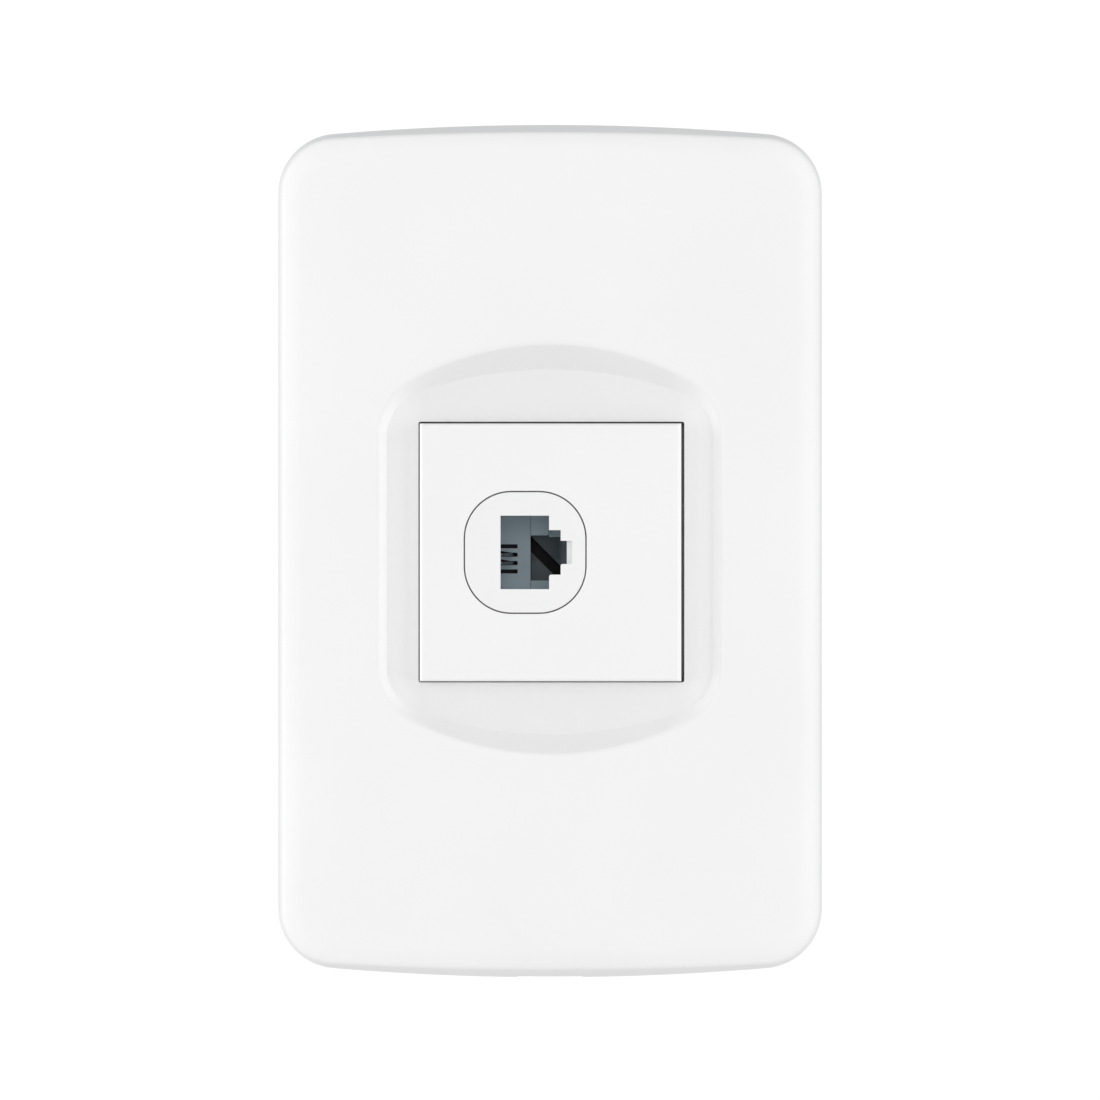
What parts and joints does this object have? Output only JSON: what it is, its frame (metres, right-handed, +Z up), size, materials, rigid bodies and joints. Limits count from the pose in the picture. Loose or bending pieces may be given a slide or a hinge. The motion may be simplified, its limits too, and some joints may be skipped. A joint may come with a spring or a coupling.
{
  "type": "telephone wall socket",
  "caption": "White arched wall plate with a sunk lens-shaped bezel, a square module and a modular telephone jack turned on its side.",
  "frame": {"origin": "on the wall surface, behind the middle of the front plate", "axes": "+X to the right seen from the front, +Y into the wall, +Z up"},
  "size_m": [0.0754, 0.0318, 0.118],
  "materials": {
    "white_plastic": "satin moulded, with a fine matt texture on the lens floor",
    "bezel_plastic": "satin moulded",
    "frame_plastic": "matt moulded",
    "jack_plastic": "matt moulded",
    "comb_plastic": "matt moulded",
    "cap_plastic": "matt moulded",
    "contact_metal": "drawn wire",
    "brass": "stamped",
    "zinc_steel": "zinc plated",
    "nylon": "natural nylon",
    "lead_red": "soft insulation",
    "lead_green": "soft insulation"
  },
  "bodies": {
    "root": {"cover_plate": "white_plastic", "support_frame": "frame_plastic", "module_face": "white_plastic", "module_housing": "frame_plastic", "jack_bezel": "bezel_plastic", "jack_body": "jack_plastic", "contact_comb": "comb_plastic", "jack_rear_cap": "cap_plastic", "contact_wire_upper": "contact_metal", "contact_wire_lower": "contact_metal", "lead_right": "lead_green", "lead_left": "lead_red", "terminal_plate_left": "brass", "terminal_plate_right": "brass", "clamp_washer_left": "zinc_steel", "clamp_washer_right": "zinc_steel", "terminal_screw_left": "zinc_steel", "terminal_screw_right": "zinc_steel", "box_screw_upper": "zinc_steel", "box_screw_lower": "zinc_steel", "screw_keeper_upper": "nylon", "screw_keeper_lower": "nylon"}
  },
  "joints": []
}
